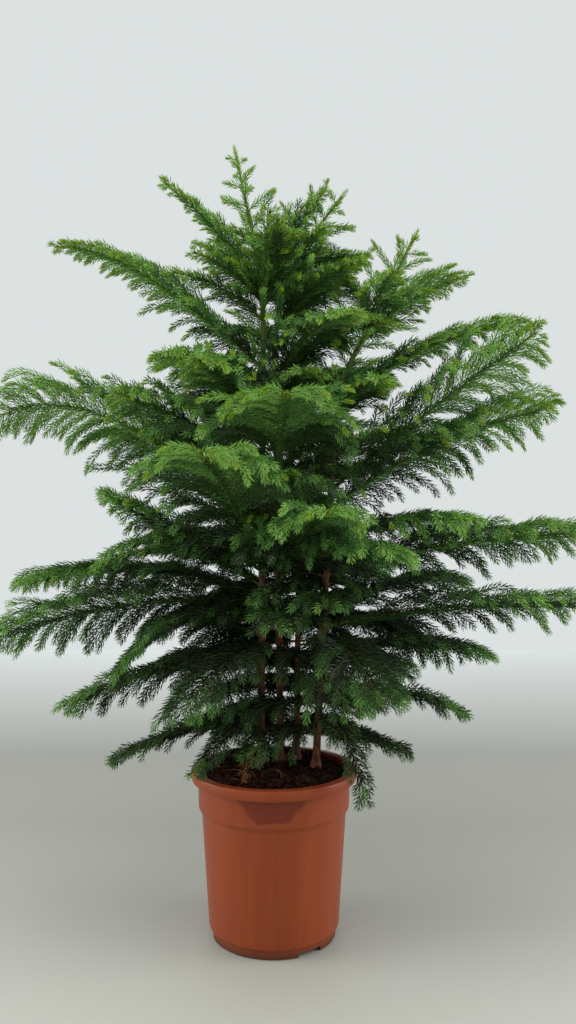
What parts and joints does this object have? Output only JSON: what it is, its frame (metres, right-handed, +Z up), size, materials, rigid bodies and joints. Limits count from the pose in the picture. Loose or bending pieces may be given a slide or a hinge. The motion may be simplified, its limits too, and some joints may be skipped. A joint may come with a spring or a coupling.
{
  "type": "potted norfolk island pine",
  "caption": "Young conifer with slender upright stems in one round moulded pot, whorls of flat feathery fronds spreading from the stems to all sides.",
  "frame": {"origin": "middle of the pot's flat underside, on the surface that the pot stands on", "axes": "+Z up along the stems, -Y towards the plant's front, +X to its right side"},
  "size_m": [0.9322, 0.6687, 1.1488],
  "materials": {
    "pot": "satin moulded plastic, terracotta coloured",
    "soil": "loose dark peat and bark",
    "bark": "rough bark",
    "foliage": "soft needles"
  },
  "bodies": {
    "root": {"back_stem": "bark", "bough_left_3_side": "bark", "bough_left_4_side": "bark", "bough_middle_2_front": "bark", "bough_right_3_side": "bark", "bough_right_4_side": "bark", "bough_right_5_upper": "bark", "foliage_back_1_rear": "foliage", "foliage_back_2_right": "foliage", "foliage_back_3_left": "foliage", "foliage_back_4_right": "foliage", "foliage_back_leader": "foliage", "foliage_left_1_front": "foliage", "foliage_left_1_side": "foliage", "foliage_left_2_front": "foliage", "foliage_left_2_rear": "foliage", "foliage_left_2_side": "foliage", "foliage_left_3_far": "foliage", "foliage_left_3_front": "foliage", "foliage_left_3_rear": "foliage", "foliage_left_3_side": "foliage", "foliage_left_3_upper": "foliage", "foliage_left_4_front": "foliage", "foliage_left_4_rear": "foliage", "foliage_left_4_side": "foliage", "foliage_left_5_front": "foliage", "foliage_left_5_rear": "foliage", "foliage_left_5_side": "foliage", "foliage_left_6_front": "foliage", "foliage_left_6_side": "foliage", "foliage_left_7_right": "foliage", "foliage_left_leader": "foliage", "foliage_middle_1_front": "foliage", "foliage_middle_2_front": "foliage", "foliage_middle_2_right": "foliage", "foliage_middle_3_front": "foliage", "foliage_middle_4_front": "foliage", "foliage_middle_5_front": "foliage", "foliage_middle_5_rear": "foliage", "foliage_middle_5_right": "foliage", "foliage_middle_leader": "foliage", "foliage_right_1_front": "foliage", "foliage_right_1_side": "foliage", "foliage_right_2_front": "foliage", "foliage_right_2_side": "foliage", "foliage_right_3_rear": "foliage", "foliage_right_3_side": "foliage", "foliage_right_4_front": "foliage", "foliage_right_4_side": "foliage", "foliage_right_5_lower": "foliage", "foliage_right_5_upper": "foliage", "foliage_right_6_rear": "foliage", "foliage_right_6_side": "foliage", "foliage_right_7_side": "foliage", "foliage_right_leader": "foliage", "left_stem": "bark", "middle_stem": "bark", "pot": "pot", "right_stem": "bark", "soil": "soil"}
  },
  "joints": []
}
